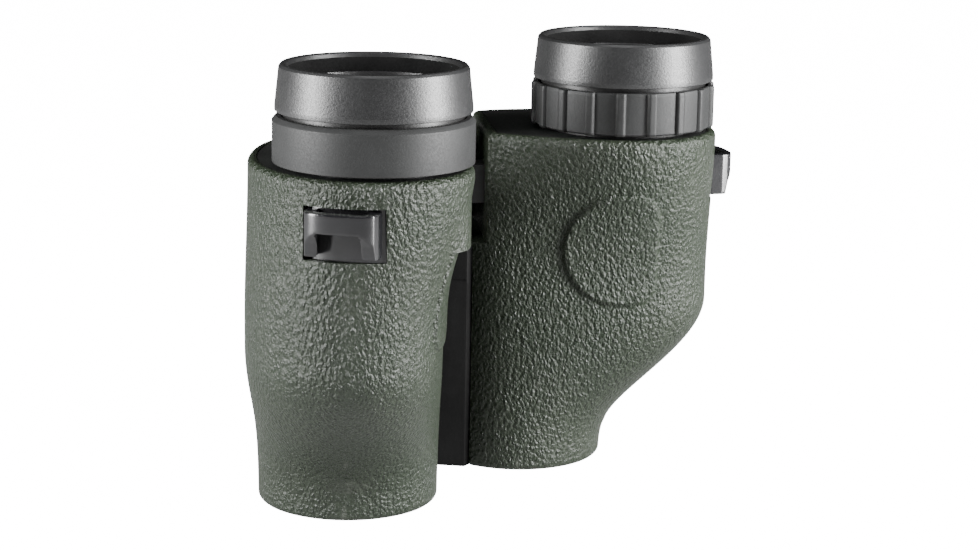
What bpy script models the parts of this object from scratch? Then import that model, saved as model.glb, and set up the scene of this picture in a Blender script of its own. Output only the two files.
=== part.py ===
"""Compact folding laser rangefinder: two telescope halves, a bridge and a centre focus.

Frame: +X is the user's right, +Y the top side, +Z points to the eyepieces.
The origin is under the middle of the object, on the plane of the objective rims.
Lengths below are millimetres; meshes are built in metres.
"""
import bmesh
import bpy
from math import atan2, cos, exp, log, pi, radians, sin
from mathutils import Matrix, Vector

MM = 0.001
GAP = 0.3                       # clearance between pieces that touch

# Optical axes and the hinge axis, all parallel to Z (right half; the left is mirrored)
EYE = Vector((36.9, -11.6))
OBJECTIVE = Vector((25.6, 7.7))
HINGE = Vector((0.0, 19.4))

# Outer shape of one half: three round lobes blended into one outline at each height
SHOULDER_Z = 72.0               # top of the hollow body, under the rear cover
ARMOUR_TOP_Z = 74.4             # the armour's lip, around the rear cover
EYE_LOBE_TOP_R = 20.2
EYE_LOBE_R = 15.9
EYE_LOBE_SHIFT = 5.4
SIDE_LOBE_R = 17.9
SIDE_LOBE_OFFSET = Vector((1.5, 9.0))
FRONT_LOBE_R = 14.0             # both upper lobes shrink to this at the front
OBJECTIVE_LOBE_R = 18.5
LOBE_BLEND = 0.55
LOBE_SLIDE_TOP_Z = 36.4         # below this height the eyepiece lobes slide to the objective axis
LOBE_SLIDE_SPAN = 38.0
RECESS_EDGE = Vector((8.2, 0.9))            # near corner of the flat wall beside the hinge
RECESS_NORMAL = Vector((0.77, -0.638)).normalized()   # points into the half
RECESS_WALL_LENGTH = 31.4       # from the near corner to just short of the far one
FLAT_LEDGE_Z = 50.4             # below this the objective tube fills the hinge recess
ROUND = 32                      # points around one outline

# Shell thicknesses, as insets from the outer shape
ARMOUR_INSET = 1.8
CHASSIS_INSET = ARMOUR_INSET + GAP
CHASSIS_INNER_INSET = CHASSIS_INSET + 1.2
CHASSIS_FRONT_Z = 1.4

# Raised shoulder of the left half, beside the bridge
SHOULDER_PAD_R = 19.3
SHOULDER_PAD_Z = 58.6

# Rear cover and its eyepiece neck
COVER_LOW_Z = SHOULDER_Z + GAP
COVER_TOP_Z = 74.2
NECK_R = 15.3
NECK_BORE_R = 13.5
NECK_TOP_Z = 84.0

# Eyepiece
BARREL_R = 13.2
BARREL_WALL = 1.2
BARREL_Z = (70.0, 88.5)
EYE_LENS_R = 11.6
RING_R = 19.9
RING_RIB_HEIGHT = 0.7
RING_RIBS = 18
RING_WALL_R = 18.2
RING_Z = (75.2, 84.3)
SLEEVE_R = (15.7, 17.8)
SLEEVE_Z = (77.4, 86.4)
EYECUP_Z = (85.3, 94.4)

# Hinge knuckles, bush, shaft and nut
KNUCKLE_R = 6.5
SHAFT_R = 3.2
SHAFT_Z = (51.4, 71.9)
SCREW_CLEARANCE_R = 2.1
BUSH_R = 4.5
NUT_R = 5.5
NUT_Z = (72.2, 74.8)
LOWER_KNUCKLE_Z = (51.3, 57.8)
MIDDLE_KNUCKLE_Z = (58.1, 66.6)
UPPER_KNUCKLE_Z = (66.9, 71.8)

# Bridge housing around the battery
BARREL_HOUSING_R = 10.2
BATTERY_BORE_R = 8.4
BATTERY_BORE_TOP_Z = 40.4
BATTERY_R = 7.8
BATTERY_Z = (5.4, 32.4)
BOARD_R = 8.0
BOARD_Z = (35.4, 36.8)
HOUSING_Z = (0.3, 42.3)
PANEL_TOP_Z = 50.0

# Bridge cover and its buttons
BRIDGE_COVER_Z = (42.7, 72.0)
BRIDGE_TOP_Y = 30.6
BUTTON_RISE = 1.2
BUTTON_POCKET_DEPTH = 2.7
SWITCH_HALF_WIDTH = 1.6
RANGE_BUTTON_Z = 64.0
MODE_BUTTON_Z = 51.5

# Focus drive
WHEEL_R = 12.5
WHEEL_Z = (77.0, 88.5)
FOCUS_SCREW_R = 1.8
SPOOL_Z = (44.6, 49.0)
ARM_WIDTH = 4.0
ARM_Z = (45.8, 47.2)            # at rest; 2 mm higher it still clears the armour's ledge

# Porro prism pair: each prism moves the light sideways by PRISM_SHIFT
PRISM_SHIFT = (EYE - OBJECTIVE).length / 2 ** 0.5
PRISM_HALF_WIDTH = 6.2
PRISM_HALF_LENGTH = 10.9
PRISM_HOLE_R = 4.9
PRISM_PLATE_Z = (50.1, 51.7)

# Laser emitter and receiver modules above the prisms, and the display in the right eyepiece
MODULE_R = 3.2
MODULE_Z = (63.8, 71.0)
DISPLAY_R = 8.5
DISPLAY_Z = (67.6, 69.2)

# Strap lugs, on the outer underside of each half
LUG_ANGLE = radians(-30.0)
LUG_Z = (60.0, 68.8)
LUG_POCKET_Z = (58.8, 69.3)
LUG_POCKET_WIDTH = 16.3

FINISHES = {                    # base colour, roughness, metallic
    "armour": ((0.105, 0.120, 0.098), 0.55, 0.0),
    "black_plastic": ((0.012, 0.012, 0.012), 0.35, 0.0),
    "cover_plastic": ((0.035, 0.036, 0.034), 0.45, 0.0),
    "ring_plastic": ((0.070, 0.070, 0.070), 0.40, 0.0),
    "eyecup": ((0.045, 0.046, 0.047), 0.38, 0.0),
    "lug": ((0.020, 0.020, 0.021), 0.15, 0.0),
    "grip_rubber": ((0.025, 0.025, 0.025), 0.60, 0.0),
    "glass": ((0.75, 0.82, 0.85), 0.03, 0.0),
    "steel": ((0.55, 0.55, 0.56), 0.30, 1.0),
    "brass": ((0.72, 0.55, 0.26), 0.30, 1.0),
    "aluminium": ((0.40, 0.41, 0.42), 0.35, 1.0),
    "circuit_board": ((0.03, 0.16, 0.07), 0.40, 0.0),
}

BODY_ORIGINS = {
    "right_half": (0.0, 0.0, 0.0),
    "left_half": (HINGE.x, HINGE.y, 0.0),
    "focus_drive": (HINGE.x, HINGE.y, WHEEL_Z[0]),
    "focus_spool": (HINGE.x, HINGE.y, SPOOL_Z[0]),
    "right_focus": (OBJECTIVE.x, OBJECTIVE.y, 25.0),
    "left_focus": (-OBJECTIVE.x, OBJECTIVE.y, 25.0),
    "diopter_ring": (EYE.x, EYE.y, RING_Z[0]),
    "right_eyepiece": (EYE.x, EYE.y, BARREL_Z[0]),
    "right_sleeve": (EYE.x, EYE.y, SLEEVE_Z[0]),
    "left_sleeve": (-EYE.x, EYE.y, SLEEVE_Z[0]),
    "right_eyecup": (EYE.x, EYE.y, EYECUP_Z[0]),
    "left_eyecup": (-EYE.x, EYE.y, EYECUP_Z[0]),
    "battery_cap": (HINGE.x, HINGE.y, 0.4),
    "range_button": (0.0, BRIDGE_TOP_Y, RANGE_BUTTON_Z),
    "mode_button": (0.0, BRIDGE_TOP_Y, MODE_BUTTON_Z),
}


# ---------------------------------------------------------------- scene helpers

def clear_scene():
    for found in list(bpy.data.objects):
        bpy.data.objects.remove(found, do_unlink=True)


def collection(name):
    made = bpy.data.collections.new(name)
    bpy.context.scene.collection.children.link(made)
    return made


def finish_material(name):
    known = bpy.data.materials.get(name)
    if known:
        return known
    colour, roughness, metallic = FINISHES[name]
    made = bpy.data.materials.new(name)
    made.use_nodes = True
    shader = made.node_tree.nodes["Principled BSDF"]
    shader.inputs["Base Color"].default_value = (*colour, 1.0)
    shader.inputs["Roughness"].default_value = roughness
    shader.inputs["Metallic"].default_value = metallic
    return made


def make_bodies():
    """One empty for each rigid body, on its joint's axis."""
    for name, place in BODY_ORIGINS.items():
        empty = bpy.data.objects.new("body_" + name, None)
        empty.location = Vector(place) * MM
        empty.empty_display_size = 0.01
        PARTS.objects.link(empty)
        BODIES[name] = empty


def add_part(name, mesh, body, finish, place=(0.0, 0.0, 0.0)):
    """Link a mesh as a named piece of a body; place is in world millimetres."""
    made = bpy.data.objects.new(name, mesh)
    made.parent = BODIES[body]
    made.location = (Vector(place) - Vector(BODY_ORIGINS[body])) * MM
    mesh.materials.append(finish_material(finish))
    mesh.shade_smooth()
    mesh.set_sharp_from_angle(angle=radians(35))
    PARTS.objects.link(made)
    return made


def cut(target, mesh, operation="DIFFERENCE", place=(0.0, 0.0, 0.0)):
    """Boolean with a hidden tool body whose mesh is in millimetre-placed metres."""
    tool = bpy.data.objects.new("tool_" + target.name, mesh)
    tool.location = Vector(place) * MM
    tool.hide_render = True
    tool.display_type = "WIRE"
    TOOLS.objects.link(tool)
    modifier = target.modifiers.new("shape", "BOOLEAN")
    modifier.operation = operation
    modifier.solver = "EXACT"
    modifier.object = tool


# ---------------------------------------------------------------- basic shapes

def turned(profile, steps=24):
    """Turned body: profile of (radius, height) running down the outer side first.

    A profile that starts and ends on the axis makes a solid, any other is closed
    into a ring.
    """
    closed = profile[0][0] > 0 or profile[-1][0] > 0
    source = bpy.data.meshes.new("profile")
    points = [(radius * MM, 0.0, height * MM) for radius, height in profile]
    edges = [(i, i + 1) for i in range(len(points) - 1)]
    if closed:
        edges.append((len(points) - 1, 0))
    source.from_pydata(points, edges, [])
    guide = bpy.data.objects.new("profile", source)
    TOOLS.objects.link(guide)
    screw = guide.modifiers.new("turn", "SCREW")
    screw.steps = steps
    screw.render_steps = steps
    screw.use_merge_vertices = True
    screw.merge_threshold = 0.000001
    mesh = evaluated_mesh(guide)
    bpy.data.objects.remove(guide)
    return mesh


def evaluated_mesh(source):
    """The object's evaluated shape as a welded mesh."""
    graph = bpy.context.evaluated_depsgraph_get()
    graph.update()
    mesh = bpy.data.meshes.new_from_object(source.evaluated_get(graph))
    form = bmesh.new()
    form.from_mesh(mesh)
    bmesh.ops.remove_doubles(form, verts=form.verts, dist=0.000001)
    form.to_mesh(mesh)
    form.free()
    return mesh


def extruded(outline, low, high, frame=None):
    """A flat outline of (x, y) points, made solid from low to high along its normal."""
    curve = bpy.data.curves.new("outline", "CURVE")
    curve.dimensions = "2D"
    curve.fill_mode = "BOTH"
    curve.extrude = (high - low) / 2 * MM
    line = curve.splines.new("POLY")
    line.points.add(len(outline) - 1)
    for point, (x, y) in zip(line.points, outline):
        point.co = (x * MM, y * MM, 0.0, 1.0)
    line.use_cyclic_u = True
    guide = bpy.data.objects.new("outline", curve)
    TOOLS.objects.link(guide)
    mesh = evaluated_mesh(guide)
    bpy.data.objects.remove(guide)
    mesh.transform(Matrix.Translation((0.0, 0.0, (low + high) / 2 * MM)))
    if frame:
        mesh.transform(frame)
    outward(mesh)
    return mesh


def outward(mesh):
    form = bmesh.new()
    form.from_mesh(mesh)
    bmesh.ops.recalc_face_normals(form, faces=form.faces)
    form.to_mesh(mesh)
    form.free()


def cylinder(radius, low, high, steps=24):
    """Upright cylinder with plain flat ends."""
    form = bmesh.new()
    bmesh.ops.create_cone(
        form, cap_ends=True, segments=steps, radius1=radius * MM, radius2=radius * MM,
        depth=(high - low) * MM, matrix=Matrix.Translation((0.0, 0.0, (low + high) / 2 * MM)),
    )
    mesh = bpy.data.meshes.new("cylinder")
    form.to_mesh(mesh)
    form.free()
    return mesh


def tube(inner, outer, low, high, steps=24):
    return turned([(outer, high), (outer, low), (inner, low), (inner, high)], steps)


def mirrored(mesh):
    """The same shape for the left half."""
    mesh.transform(Matrix.Scale(-1.0, 4, (1.0, 0.0, 0.0)))
    mesh.flip_normals()
    return mesh


def sided(mesh, side):
    return mesh if side > 0 else mirrored(mesh)


def along_y(x, z):
    """Frame that turns an outline in X and Z into a solid that rises along +Y."""
    turn = Matrix.Rotation(radians(-90), 4, "X")
    flip = Matrix.Scale(-1.0, 4, (0.0, 1.0, 0.0))
    return Matrix.Translation((x * MM, 0.0, z * MM)) @ turn @ flip


def arc(centre, radius, start, end, count):
    """Points on an arc, angles in degrees."""
    return [
        (
            centre[0] + radius * cos(radians(start + (end - start) * i / count)),
            centre[1] + radius * sin(radians(start + (end - start) * i / count)),
        )
        for i in range(count + 1)
    ]


# ---------------------------------------------------------------- outline of one half

def smooth(value):
    value = min(1.0, max(0.0, value))
    return value * value * (3 - 2 * value)


def mix(a, b, amount):
    return a + (b - a) * amount


def lobes(z):
    """Centre and radius of the three round lobes at a height."""
    slide = smooth((LOBE_SLIDE_TOP_Z - z) / LOBE_SLIDE_SPAN)
    narrow = smooth((75.0 - z) / 34.0)
    eye = EYE + Vector((mix(0.3, EYE_LOBE_SHIFT, narrow), 0.0))
    side = EYE + Vector((mix(0.0, SIDE_LOBE_OFFSET.x, narrow), SIDE_LOBE_OFFSET.y))
    eye_r = mix(mix(EYE_LOBE_TOP_R, EYE_LOBE_R, narrow), FRONT_LOBE_R, slide)
    side_r = mix(SIDE_LOBE_R, FRONT_LOBE_R, slide)
    return [
        (eye.lerp(OBJECTIVE, slide), eye_r),
        (OBJECTIVE, OBJECTIVE_LOBE_R),
        (side.lerp(OBJECTIVE, slide), side_r),
    ]


def outline_point(z, angle, inset):
    """Point of the blended outline whose outward normal has the given angle."""
    normal = Vector((cos(angle), sin(angle)))
    rounds = lobes(z)
    reach = [normal.dot(centre) + radius for centre, radius in rounds]
    furthest = max(reach)
    weights = [exp(LOBE_BLEND * (value - furthest)) for value in reach]
    total = sum(weights)
    blended = furthest + log(total) / LOBE_BLEND
    mean = sum(w * value for w, value in zip(weights, reach)) / total
    point = Vector((0.0, 0.0))
    for w, (centre, radius) in zip(weights, rounds):
        point += (centre + normal * radius) * (w / total)
    return point + normal * (blended - mean - inset)


def reach_from_eye(z, angle):
    """Distance from the eyepiece axis to the outer shape, for a given outward normal."""
    normal = Vector((cos(angle), sin(angle)))
    return normal.dot(outline_point(z, angle, 0.0) - EYE)


def outline(z, inset, flat=False, pad=False, count=ROUND):
    """One closed outline of the right half.

    flat trims it along the hinge recess, and pad adds the raised shoulder.
    """
    points = []
    for i in range(count):
        point = outline_point(z, 2 * pi * i / count, inset)
        if flat:
            depth = RECESS_NORMAL.dot(point - RECESS_EDGE)
            point += RECESS_NORMAL * max(0.0, inset - depth)
        if pad:
            point = padded(point, inset)
        points.append(point)
    return points


def padded(point, inset):
    """Push a point out to the raised shoulder, where it faces the inner underside."""
    arm = point - EYE
    angle = atan2(arm.y, -arm.x)
    window = smooth((angle + radians(80)) / radians(20)) * smooth(-angle / radians(12))
    radius = max(arm.length, SHOULDER_PAD_R - inset)
    return EYE + arm * (mix(arm.length, radius, window) / arm.length)


def ring_stack(rings, closed_loop):
    """Loft through outlines: a closed loop of rings is a tube wall, else a capped solid."""
    form = bmesh.new()
    rows = []
    for z, points in rings:
        rows.append([form.verts.new((p.x * MM, p.y * MM, z * MM)) for p in points])
    count = len(rows[0])
    pairs = list(zip(rows, rows[1:]))
    if closed_loop:
        pairs.append((rows[-1], rows[0]))
    for upper, lower in pairs:
        for i in range(count):
            j = (i + 1) % count
            form.faces.new((upper[i], upper[j], lower[j], lower[i]))
    if not closed_loop:
        form.faces.new(rows[0])
        form.faces.new(list(reversed(rows[-1])))
    bmesh.ops.triangulate(form, faces=form.faces)
    bmesh.ops.recalc_face_normals(form, faces=form.faces)
    mesh = bpy.data.meshes.new("loft")
    form.to_mesh(mesh)
    form.free()
    return mesh


# ---------------------------------------------------------------- shells of each half

def armour_mesh(pad):
    """Rubber armour: outer rings from the lip down, then inner rings back up."""
    rings = [(ARMOUR_TOP_Z, outline(SHOULDER_Z, 1.2, flat=True, pad=pad))]
    rings.append((ARMOUR_TOP_Z - 1.4, outline(SHOULDER_Z, 0.0, flat=True, pad=pad)))
    for z in (SHOULDER_PAD_Z, SHOULDER_PAD_Z - GAP):
        lifted = pad and z >= SHOULDER_PAD_Z
        rings.append((z, outline(z, 0.0, flat=True, pad=lifted)))
    ledge = FLAT_LEDGE_Z
    rings.append((ledge + 0.5, outline(ledge, 0.0, flat=True)))
    rings.append((ledge - 0.5, outline(ledge, 0.0)))
    for z in (41.0, 34.0, 28.0, 22.0, 16.0, 10.0, 1.4):
        rings.append((z, outline(z, 0.0)))
    rings.append((0.0, outline(0.0, 1.2)))
    for z in (0.0, 14.0, 28.0, 40.0):
        rings.append((z, outline(z, ARMOUR_INSET)))
    low = ledge - ARMOUR_INSET
    rings.append((low - 0.5, outline(low, ARMOUR_INSET)))
    rings.append((low + 0.5, outline(low, ARMOUR_INSET, flat=True)))
    rings.append((60.0, outline(60.0, ARMOUR_INSET, flat=True)))
    for z in (SHOULDER_Z, ARMOUR_TOP_Z):
        rings.append((z, outline(SHOULDER_Z, ARMOUR_INSET, flat=True)))
    return ring_stack(rings, closed_loop=True)


def chassis_mesh():
    """Hollow body that carries the optics, open at both ends."""
    ledge = FLAT_LEDGE_Z - CHASSIS_INSET
    inner_ledge = ledge - 1.2
    rings = []
    for z in (SHOULDER_Z, 60.0):
        rings.append((z, outline(z, CHASSIS_INSET, flat=True)))
    rings.append((ledge + 0.5, outline(ledge, CHASSIS_INSET, flat=True)))
    rings.append((ledge - 0.5, outline(ledge, CHASSIS_INSET)))
    for z in (40.0, 28.0, 14.0, CHASSIS_FRONT_Z):
        rings.append((z, outline(z, CHASSIS_INSET)))
    for z in (CHASSIS_FRONT_Z, 14.0, 28.0, 40.0):
        rings.append((z, outline(z, CHASSIS_INNER_INSET)))
    rings.append((inner_ledge - 0.5, outline(inner_ledge, CHASSIS_INNER_INSET)))
    rings.append((inner_ledge + 0.5, outline(inner_ledge, CHASSIS_INNER_INSET, flat=True)))
    for z in (60.0, SHOULDER_Z):
        rings.append((z, outline(z, CHASSIS_INNER_INSET, flat=True)))
    return ring_stack(rings, closed_loop=True)


def box(low, high):
    """Axis-aligned box from two corners, in millimetres."""
    form = bmesh.new()
    bmesh.ops.create_cube(form, size=1.0)
    size = [(b - a) * MM for a, b in zip(low, high)]
    middle = [(a + b) / 2 * MM for a, b in zip(low, high)]
    bmesh.ops.scale(form, vec=size, verts=form.verts)
    bmesh.ops.translate(form, vec=middle, verts=form.verts)
    mesh = bpy.data.meshes.new("box")
    form.to_mesh(mesh)
    form.free()
    return mesh


def turned_box(low, high, angle, centre):
    """Box in local (radial, tangential, z) millimetres, turned about an upright axis."""
    mesh = box(low, high)
    place = Matrix.Translation((centre[0] * MM, centre[1] * MM, 0.0))
    mesh.transform(place @ Matrix.Rotation(angle, 4, "Z"))
    return mesh


def hinge_openings():
    """Plan outlines of the armour's opening beside the bridge: objective tube, then top."""
    lower = [(-10.0, 0.5), (7.2, 4.2), (12.0, 5.0), (19.0, 19.4), (16.7, 24.4)]
    lower += [(6.0, 48.0), (-10.0, 48.0)]
    along = Vector((-RECESS_NORMAL.y, RECESS_NORMAL.x))
    near = RECESS_EDGE + along * 1.2
    far = RECESS_EDGE + along * RECESS_WALL_LENGTH
    depth = RECESS_NORMAL * (ARMOUR_INSET + 0.8)
    upper = [tuple(near), tuple(near + depth), tuple(far + depth), tuple(far)]
    upper += [(6.0, 44.0), (-12.0, 44.0), (-12.0, -1.6)]
    return lower, upper


def lug_frame_reach():
    return reach_from_eye((LUG_Z[0] + LUG_Z[1]) / 2, LUG_ANGLE)


def make_armour(prefix, side, body):
    armour = add_part(prefix + "_armour", sided(armour_mesh(pad=side < 0), side), body, "armour")
    lower, upper = hinge_openings()
    cut(armour, sided(extruded(lower, -1.0, FLAT_LEDGE_Z - 1.0), side))
    cut(armour, sided(extruded(upper, FLAT_LEDGE_Z - 2.0, ARMOUR_TOP_Z + 1.0), side))
    reach = lug_frame_reach()
    half = LUG_POCKET_WIDTH / 2
    pocket = turned_box(
        (reach - 6.0, -half, LUG_POCKET_Z[0]), (reach + 5.0, half, LUG_POCKET_Z[1]), LUG_ANGLE, EYE
    )
    cut(armour, sided(pocket, side))


def make_chassis(prefix, side, body):
    chassis = add_part(prefix + "_chassis", sided(chassis_mesh(), side), body, "black_plastic")
    spans = [MIDDLE_KNUCKLE_Z] if side > 0 else [LOWER_KNUCKLE_Z, UPPER_KNUCKLE_Z]
    bore = BUSH_R + GAP if side > 0 else SHAFT_R + GAP
    reach = RECESS_NORMAL.dot(RECESS_EDGE - HINGE) + CHASSIS_INSET + 0.6
    web_angle = atan2(RECESS_NORMAL.y, RECESS_NORMAL.x)
    for low, high in spans:
        web = turned_box((1.7, -3.5, low + 0.1), (reach, 3.4, high - 0.1), web_angle, HINGE)
        cut(chassis, sided(web, side), "UNION")
        cut(chassis, cylinder(KNUCKLE_R, low, high, 26), "UNION", (HINGE.x, HINGE.y, 0.0))
    cut(chassis, cylinder(bore, 50.0, 73.0, 20), place=(HINGE.x, HINGE.y, 0.0))
    to_hinge = HINGE - OBJECTIVE
    slot = turned_box(
        (7.0, -ARM_WIDTH / 2 - 0.6, 42.8), (20.5, ARM_WIDTH / 2 + 0.6, 51.0),
        atan2(to_hinge.y, to_hinge.x), OBJECTIVE,
    )
    cut(chassis, sided(slot, side))


def make_rear_cover(prefix, side, body):
    """Smooth plate inside the armour's lip, with the neck that guides the eyepiece."""
    steps = ((COVER_TOP_Z, 0.4), (COVER_TOP_Z - 0.4, 0.0), (COVER_LOW_Z, 0.0))
    rings = []
    for z, chamfer in steps:
        rings.append((z, outline(SHOULDER_Z, CHASSIS_INSET + chamfer, flat=True)))
    plate = sided(ring_stack(rings, closed_loop=False), side)
    cover = add_part(prefix + "_rear_cover", plate, body, "cover_plastic")
    at = (side * EYE.x, EYE.y, 0.0)
    cut(cover, cylinder(NECK_R, COVER_LOW_Z + 0.5, NECK_TOP_Z), "UNION", at)
    cut(cover, cylinder(NECK_BORE_R, COVER_LOW_Z - 2.0, NECK_TOP_Z + 2.0, 22), place=at)


def make_lug(prefix, side, body):
    """Staple-shaped strap lug: the strap passes up behind it along Z."""
    outer = [(-2.4, -7.4), (0.8, -7.4), (3.0, -5.5), (3.8, -2.0)]
    outer += [(3.8, 2.0), (3.0, 5.5), (0.8, 7.4), (-2.4, 7.4)]
    inner = [(-2.4, 5.2), (0.6, 5.2), (2.0, 4.0), (2.0, -4.0), (0.6, -5.2), (-2.4, -5.2)]
    reach = lug_frame_reach()
    shape = [(reach + d, t) for d, t in outer + inner]
    place = Matrix.Translation((EYE.x * MM, EYE.y * MM, 0.0))
    frame = place @ Matrix.Rotation(LUG_ANGLE, 4, "Z")
    add_part(prefix + "_strap_lug", sided(extruded(shape, *LUG_Z, frame), side), body, "lug")


# ---------------------------------------------------------------- optics

def lens(radius, low, high, edge):
    """Lens curved on both faces: edge is the thickness at the rim."""
    middle = (low + high) / 2
    bulge = (high - low - edge) / 2
    upper = [(radius * i / 2, middle + edge / 2 + bulge * (1 - (i / 2) ** 2)) for i in range(3)]
    lower = [(radius * i / 2, middle - edge / 2 - bulge * (1 - (i / 2) ** 2)) for i in range(2, -1, -1)]
    return turned(upper + lower, 20)


def make_objective(prefix, side, body):
    at = (side * OBJECTIVE.x, OBJECTIVE.y, 0.0)
    cell = [(14.8, 14.0), (14.8, 3.2), (14.2, 3.2), (14.2, 9.6), (12.6, 9.6), (12.6, 14.0)]
    add_part(prefix + "_objective_cell", turned(cell), body, "aluminium", at)
    add_part(prefix + "_objective_lens", lens(13.8, 3.8, 9.2, 2.8), body, "glass", at)
    add_part(prefix + "_objective_retainer", tube(12.8, 14.8, 1.6, 2.9), body, "black_plastic", at)


def make_focus_cell(prefix, side, body):
    """Focusing lens cell with the arm that reaches the spool on the hinge axis."""
    at = (side * OBJECTIVE.x, OBJECTIVE.y, 0.0)
    cell = add_part(prefix + "_focus_cell", tube(10.8, 12.3, 25.0, 30.0, 22), body, "aluminium", at)
    to_hinge = HINGE - OBJECTIVE
    tip = to_hinge.length - 3.65
    low, high = ARM_Z
    side_view = [(11.6, 25.2), (14.2, 25.2), (14.2, low), (tip, low)]
    side_view += [(tip, high), (12.2, high), (12.2, 29.8), (11.6, 29.8)]
    upright = Matrix.Rotation(radians(90), 4, "X")
    turn = Matrix.Rotation(atan2(to_hinge.y, to_hinge.x), 4, "Z")
    place = Matrix.Translation((OBJECTIVE.x * MM, OBJECTIVE.y * MM, 0.0))
    arm = extruded(side_view, -ARM_WIDTH / 2, ARM_WIDTH / 2, place @ turn @ upright)
    cut(cell, sided(arm, side), "UNION")
    add_part(prefix + "_focus_lens", lens(10.5, 25.4, 29.6, 2.0), body, "glass", at)


def prism_mesh(centre, direction, base_z, rise):
    """Right-angle prism lying on its long face; rise is +1 with the ridge up."""
    height = PRISM_SHIFT
    trim = 1.5
    end = height - PRISM_HALF_LENGTH
    side_view = [(-PRISM_HALF_LENGTH, 0.0), (PRISM_HALF_LENGTH, 0.0), (PRISM_HALF_LENGTH, end)]
    side_view += [(trim, height - trim), (-trim, height - trim), (-PRISM_HALF_LENGTH, end)]
    shape = [(x, base_z + rise * z) for x, z in side_view]
    upright = Matrix.Rotation(radians(90), 4, "X")
    turn = Matrix.Rotation(atan2(direction.y, direction.x), 4, "Z")
    place = Matrix.Translation((centre.x * MM, centre.y * MM, 0.0))
    return extruded(shape, -PRISM_HALF_WIDTH, PRISM_HALF_WIDTH, place @ turn @ upright)


def prism_layout():
    """Directions of the two sideways shifts, at 45 degrees each side of the axis offset."""
    across = (EYE - OBJECTIVE).normalized()
    first = Vector((across.x - across.y, across.x + across.y)) / 2 ** 0.5
    second = Vector((across.x + across.y, across.y - across.x)) / 2 ** 0.5
    return first, second


def make_prisms(prefix, side, body):
    first, second = prism_layout()
    turn_point = OBJECTIVE + first * PRISM_SHIFT
    upper_centre = OBJECTIVE + first * (PRISM_SHIFT / 2)
    lower_centre = turn_point + second * (PRISM_SHIFT / 2)
    upper = prism_mesh(upper_centre, first, PRISM_PLATE_Z[1] + GAP, 1)
    lower = prism_mesh(lower_centre, second, PRISM_PLATE_Z[0] - GAP, -1)
    add_part(prefix + "_prism_upper", sided(upper, side), body, "glass")
    add_part(prefix + "_prism_lower", sided(lower, side), body, "glass")
    shape = [tuple(p) for p in outline(51.0, CHASSIS_INNER_INSET + GAP, flat=True, count=24)]
    plate = add_part(
        prefix + "_prism_plate", sided(extruded(shape, *PRISM_PLATE_Z), side), body, "aluminium"
    )
    for centre in (OBJECTIVE, turn_point, EYE):
        cut(plate, cylinder(PRISM_HOLE_R, 48.0, 54.0, 16), place=(side * centre.x, centre.y, 0.0))


def make_eyepiece(prefix, side, body):
    at = (side * EYE.x, EYE.y, 0.0)
    barrel = tube(BARREL_R - BARREL_WALL, BARREL_R, *BARREL_Z)
    add_part(prefix + "_eyepiece_barrel", barrel, body, "black_plastic", at)
    add_part(prefix + "_field_lens", lens(EYE_LENS_R, 72.0, 75.6, 1.6), body, "glass", at)
    add_part(prefix + "_eye_lens", lens(EYE_LENS_R, 82.4, 87.2, 2.2), body, "glass", at)


def make_eyecup(prefix, side):
    at = (side * EYE.x, EYE.y, 0.0)
    sleeve = tube(*SLEEVE_R, *SLEEVE_Z)
    add_part(prefix + "_eyecup_sleeve", sleeve, prefix + "_sleeve", "black_plastic", at)
    low, high = EYECUP_Z
    profile = [
        (17.9, high), (18.4, high - 0.4), (19.4, low + 0.9), (19.4, low), (18.1, low), (18.1, low + 1.5),
        (13.7, low + 1.5), (13.7, low + 2.4), (16.9, high - 0.8), (17.3, high),
    ]
    add_part(prefix + "_eyecup", turned(profile, 28), prefix + "_eyecup", "eyecup", at)


def ring_outline():
    """Outer outline of the diopter ring: narrow raised ribs with flats between."""
    points = []
    base = RING_R - RING_RIB_HEIGHT
    for i in range(RING_RIBS):
        middle = 360.0 * i / RING_RIBS
        for radius, offset in ((base, -2.3), (RING_R, -1.7), (RING_R, 1.7), (base, 2.3)):
            angle = radians(middle + offset)
            points.append((radius * cos(angle), radius * sin(angle)))
    return points


def make_rings():
    """Ribbed diopter ring on the right, plain collar on the left; both have a base web."""
    low, high = RING_Z
    web_r = NECK_R + GAP + 0.1
    ring = add_part(
        "diopter_ring", extruded(ring_outline(), low, high), "diopter_ring", "ring_plastic",
        (EYE.x, EYE.y, 0.0),
    )
    cut(ring, cylinder(RING_WALL_R + 0.1, low + 1.8, high + 2.0, 27), place=(EYE.x, EYE.y, 0.0))
    cut(ring, cylinder(web_r, low - 2.0, low + 4.0, 24), place=(EYE.x, EYE.y, 0.0))
    collar = [
        (RING_R - 0.7, high), (RING_R, high - 0.9), (RING_R, low), (web_r, low),
        (web_r, low + 1.8), (RING_WALL_R, low + 1.8), (RING_WALL_R, high),
    ]
    at = (-EYE.x, EYE.y, 0.0)
    add_part("left_eyepiece_collar", turned(collar, 28), "left_half", "ring_plastic", at)


# ---------------------------------------------------------------- bridge

def housing_outline():
    """Barrel around the hinge axis with a fairing that reaches the right objective tube."""
    barrel = arc(HINGE, BARREL_HOUSING_R, 84.0, 280.0, 22)
    return barrel + [(5.6, 4.1), (6.85, 4.37), (11.6, 5.2), (18.6, 19.4), (16.3, 24.2)]


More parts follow.
